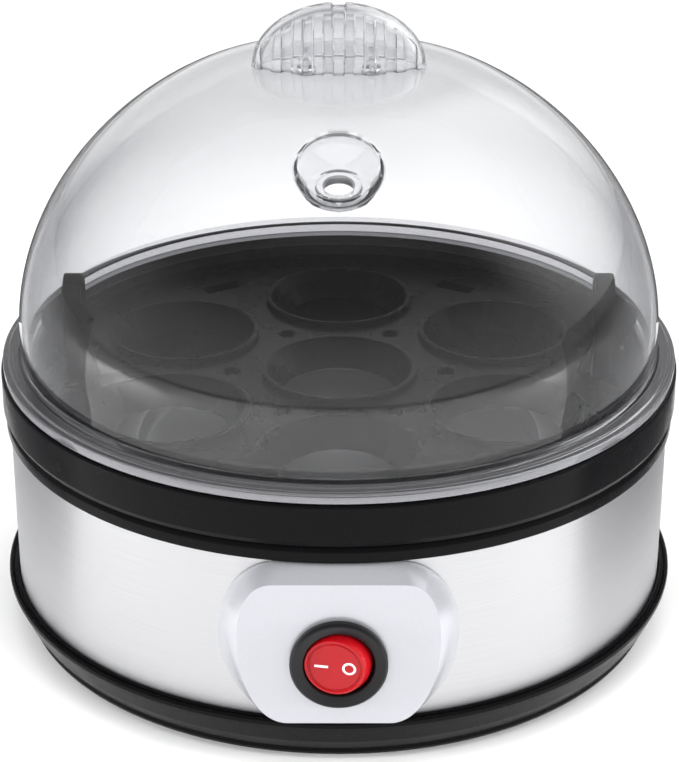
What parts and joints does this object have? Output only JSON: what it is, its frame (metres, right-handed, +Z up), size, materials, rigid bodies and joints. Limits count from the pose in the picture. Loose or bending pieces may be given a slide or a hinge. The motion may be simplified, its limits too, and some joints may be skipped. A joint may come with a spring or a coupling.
{
  "type": "egg boiler",
  "caption": "Round household egg boiler: black base and tray, brushed steel band, clear domed lid with a fluted grip, silver panel with a red rocker switch.",
  "frame": {"origin": "on the floor, below the middle of the appliance's overall box", "axes": "+Z up, -Y towards the switch, +X to the right of someone facing the switch"},
  "size_m": [0.1778, 0.1927, 0.1641],
  "materials": {
    "clear_lid": "clear, polished",
    "black_moulding": "satin gloss",
    "brushed_steel": "brushed round",
    "silver_panel": "silver, satin",
    "switch_black": "matt",
    "red_lens": "translucent red",
    "lamp_glass": "clear",
    "pressed_steel": "plated",
    "dish_metal": "satin",
    "silicone": "matt",
    "ceramic": "matt",
    "rubber": "matt",
    "brass": "bright",
    "block_white": "matt",
    "lead_cover": "matt"
  },
  "bodies": {
    "body": {"base_pan": "black_moulding", "block_screw": "brass", "cord_gland": "rubber", "cover_nut_1": "pressed_steel", "cover_nut_2": "pressed_steel", "cover_nut_3": "pressed_steel", "element_cover": "pressed_steel", "foot_front_left": "rubber", "foot_front_right": "rubber", "foot_rear_left": "rubber", "foot_rear_right": "rubber", "fuse_clip": "pressed_steel", "fuse_nut": "pressed_steel", "heating_element": "pressed_steel", "heating_plate": "dish_metal", "housing_screw_1": "pressed_steel", "housing_screw_2": "pressed_steel", "housing_screw_3": "pressed_steel", "housing_screw_4": "pressed_steel", "indicator_lamp": "lamp_glass", "lead_earth": "lead_cover", "lead_element": "lead_cover", "lead_fuse": "lead_cover", "lead_switch_in": "lead_cover", "lead_switch_out": "lead_cover", "lead_thermostat": "lead_cover", "panel_screw_left": "pressed_steel", "panel_screw_right": "pressed_steel", "plate_seal": "silicone", "steel_band": "brushed_steel", "switch_body": "switch_black", "switch_panel": "silver_panel", "switch_terminal_1": "brass", "switch_terminal_2": "brass", "switch_terminal_3": "brass", "terminal_block": "block_white", "thermal_fuse": "pressed_steel", "thermostat": "ceramic", "thermostat_nut_1": "pressed_steel", "thermostat_nut_2": "pressed_steel", "upper_housing": "black_moulding"},
    "tray": {"egg_tray": "black_moulding"},
    "lid": {"lid_dome": "clear_lid", "lid_grip": "clear_lid"},
    "rocker": {"switch_rocker": "red_lens"}
  },
  "joints": [
    {"name": "tray_lift", "type": "slide", "parent": "body", "child": "tray", "axis": [0, 0, 1], "range_m": [0, 0.06]},
    {"name": "lid_lift", "type": "slide", "parent": "tray", "child": "lid", "axis": [0, 0, 1], "range_m": [0, 0.12]},
    {"name": "rocker_tilt", "type": "hinge", "parent": "body", "child": "rocker", "pos_m": [0, -0.0898, 0.0332], "axis": [0, 0, 1], "range_deg": [0, 21]}
  ]
}
